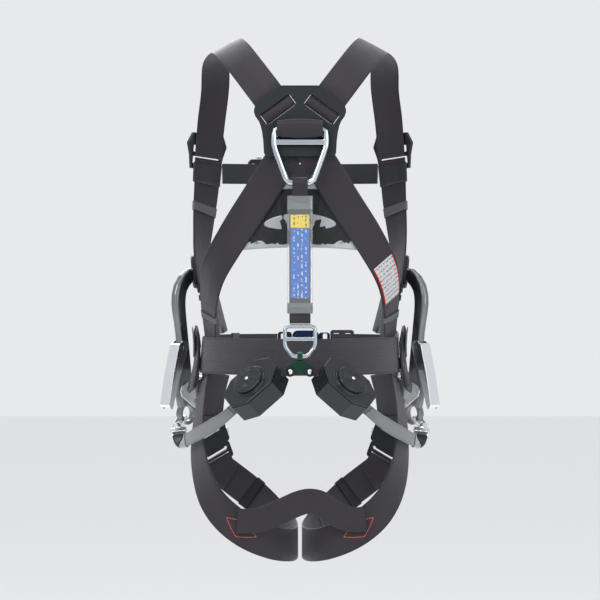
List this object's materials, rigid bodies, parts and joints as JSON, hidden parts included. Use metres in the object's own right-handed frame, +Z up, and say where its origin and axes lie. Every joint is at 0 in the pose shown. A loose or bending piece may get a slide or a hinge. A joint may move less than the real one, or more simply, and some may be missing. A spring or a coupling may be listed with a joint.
{
  "type": "full-body safety harness",
  "caption": "Full-body fall arrest harness with leg loops, waist belt, rear energy absorber, retracting webbing winders and parked scaffold hooks.",
  "frame": {"origin": "middle of the waist belt's loop, on the body axis at half the belt's width", "axes": "-Y towards the wearer's front, +X towards the wearer's left, +Z up"},
  "size_m": [0.387, 0.2966, 0.7155],
  "materials": {
    "webbing": "woven charcoal polyester",
    "belt_webbing": "ribbed dark grey polyester",
    "padding": "black air mesh with bound edges",
    "lanyard_webbing": "grey narrow webbing",
    "black_plastic": "satin moulded black",
    "blue_plastic": "smoky navy",
    "steel": "blue-grey plated",
    "dark_steel": "dark plated",
    "aluminium": "light anodised",
    "clear_sleeve": "clear film over folded webbing"
  },
  "bodies": {
    "frame": {"shoulder_strap_left": "webbing", "back_strap_left": "webbing", "side_strap_left": "webbing", "shoulder_strap_right": "webbing", "back_strap_right": "webbing", "side_strap_right": "webbing", "chest_strap_left": "webbing", "chest_strap_right": "webbing", "chest_slider": "black_plastic", "chest_buckle_body": "black_plastic", "chest_buckle_tongue": "black_plastic", "shoulder_adjuster_left": "black_plastic", "shoulder_adjuster_right": "black_plastic", "waist_belt": "belt_webbing", "belt_ring": "steel", "belt_adjuster": "dark_steel", "belt_buckle_body": "blue_plastic", "belt_buckle_tongue": "black_plastic", "side_pouch_left": "padding", "side_pouch_right": "padding", "back_pad": "padding", "dorsal_plate": "black_plastic", "absorber_pack": "clear_sleeve", "lower_ring": "steel", "winder_link": "steel", "hook_body_left": "aluminium", "hook_swivel_left": "steel", "hook_body_right": "aluminium", "hook_swivel_right": "steel", "hook_hanger_left": "black_plastic", "hook_hanger_right": "black_plastic", "lanyard_web_left": "lanyard_webbing", "lanyard_web_right": "lanyard_webbing", "leg_strap_left": "webbing", "leg_riser_left": "webbing", "leg_buckle_left": "black_plastic", "leg_adjuster_left": "black_plastic", "leg_strap_right": "webbing", "leg_riser_right": "webbing", "leg_buckle_right": "black_plastic", "leg_adjuster_right": "black_plastic", "seat_strap": "webbing"},
    "dorsal_ring": {"dorsal_ring": "steel", "absorber_eye": "webbing"},
    "winder_left": {"winder_case_left": "black_plastic", "winder_cover_left": "black_plastic"},
    "spool_left": {"winder_spool_left": "black_plastic"},
    "gate_left": {"hook_gate_left": "aluminium"},
    "lock_lever_left": {"hook_lever_left": "aluminium"},
    "leg_tab_inner_left": {"leg_tab_inner_left": "aluminium"},
    "leg_tab_outer_left": {"leg_tab_outer_left": "aluminium"},
    "winder_right": {"winder_case_right": "black_plastic", "winder_cover_right": "black_plastic"},
    "spool_right": {"winder_spool_right": "black_plastic"},
    "gate_right": {"hook_gate_right": "aluminium"},
    "lock_lever_right": {"hook_lever_right": "aluminium"},
    "leg_tab_inner_right": {"leg_tab_inner_right": "aluminium"},
    "leg_tab_outer_right": {"leg_tab_outer_right": "aluminium"},
    "chest_tab_upper": {"chest_tab_upper": "aluminium"},
    "chest_tab_lower": {"chest_tab_lower": "aluminium"}
  },
  "joints": [
    {"name": "dorsal_ring_swing", "type": "hinge", "parent": "frame", "child": "dorsal_ring", "pos_m": [0, 0.1364, 0.303], "axis": [1, 0, 0], "range_deg": [0, 25]},
    {"name": "winder_left_swing", "type": "hinge", "parent": "frame", "child": "winder_left", "pos_m": [0.013, 0.1364, -0.019], "axis": [0, -1, 0], "range_deg": [0, 10]},
    {"name": "spool_left_turn", "type": "hinge", "parent": "winder_left", "child": "spool_left", "pos_m": [0.06561, 0.15515, -0.03225], "axis": [0.5298, 0.5997, 0.5997], "continuous": true},
    {"name": "gate_left_turn", "type": "hinge", "parent": "frame", "child": "gate_left", "pos_m": [0.15048, -0.04656, -0.06826], "axis": [-0.7663, 0.6425, 0], "range_deg": [0, 24], "stiffness_Nm_per_rad": 0.25, "springref_deg": -22.92},
    {"name": "lock_lever_left_turn", "type": "hinge", "parent": "frame", "child": "lock_lever_left", "pos_m": [0.16705, -0.0268, 0.0071], "axis": [-0.7663, 0.6425, 0], "range_deg": [0, 4.5], "stiffness_Nm_per_rad": 0.15, "springref_deg": -17.19},
    {"name": "winder_right_swing", "type": "hinge", "parent": "frame", "child": "winder_right", "pos_m": [-0.013, 0.1364, -0.019], "axis": [0, 1, 0], "range_deg": [0, 10]},
    {"name": "spool_right_turn", "type": "hinge", "parent": "winder_right", "child": "spool_right", "pos_m": [-0.06561, 0.15515, -0.03225], "axis": [-0.5298, 0.5997, 0.5997], "continuous": true},
    {"name": "gate_right_turn", "type": "hinge", "parent": "frame", "child": "gate_right", "pos_m": [-0.15048, -0.04656, -0.06826], "axis": [-0.7663, -0.6425, 0], "range_deg": [0, 24], "stiffness_Nm_per_rad": 0.25, "springref_deg": -22.92},
    {"name": "lock_lever_right_turn", "type": "hinge", "parent": "frame", "child": "lock_lever_right", "pos_m": [-0.16705, -0.0268, 0.0071], "axis": [-0.7663, -0.6425, 0], "range_deg": [0, 4.5], "stiffness_Nm_per_rad": 0.15, "springref_deg": -17.19},
    {"name": "chest_tab_upper_press", "type": "slide", "parent": "frame", "child": "chest_tab_upper", "axis": [-0.0023, 0.0109, -0.9999], "range_m": [0, 0.0015], "stiffness_N_per_m": 400, "springref_m": -0.002},
    {"name": "chest_tab_lower_press", "type": "slide", "parent": "frame", "child": "chest_tab_lower", "axis": [0.0023, -0.0109, 0.9999], "range_m": [0, 0.0015], "stiffness_N_per_m": 400, "springref_m": -0.002},
    {"name": "leg_tab_inner_left_press", "type": "slide", "parent": "frame", "child": "leg_tab_inner_left", "axis": [0.7448, 0.5255, -0.4113], "range_m": [0, 0.0015], "stiffness_N_per_m": 400, "springref_m": -0.002},
    {"name": "leg_tab_outer_left_press", "type": "slide", "parent": "frame", "child": "leg_tab_outer_left", "axis": [-0.7448, -0.5255, 0.4113], "range_m": [0, 0.0015], "stiffness_N_per_m": 400, "springref_m": -0.002},
    {"name": "leg_tab_inner_right_press", "type": "slide", "parent": "frame", "child": "leg_tab_inner_right", "axis": [-0.745, 0.5252, -0.4112], "range_m": [0, 0.0015], "stiffness_N_per_m": 400, "springref_m": -0.002},
    {"name": "leg_tab_outer_right_press", "type": "slide", "parent": "frame", "child": "leg_tab_outer_right", "axis": [0.745, -0.5252, 0.4112], "range_m": [0, 0.0015], "stiffness_N_per_m": 400, "springref_m": -0.002}
  ]
}
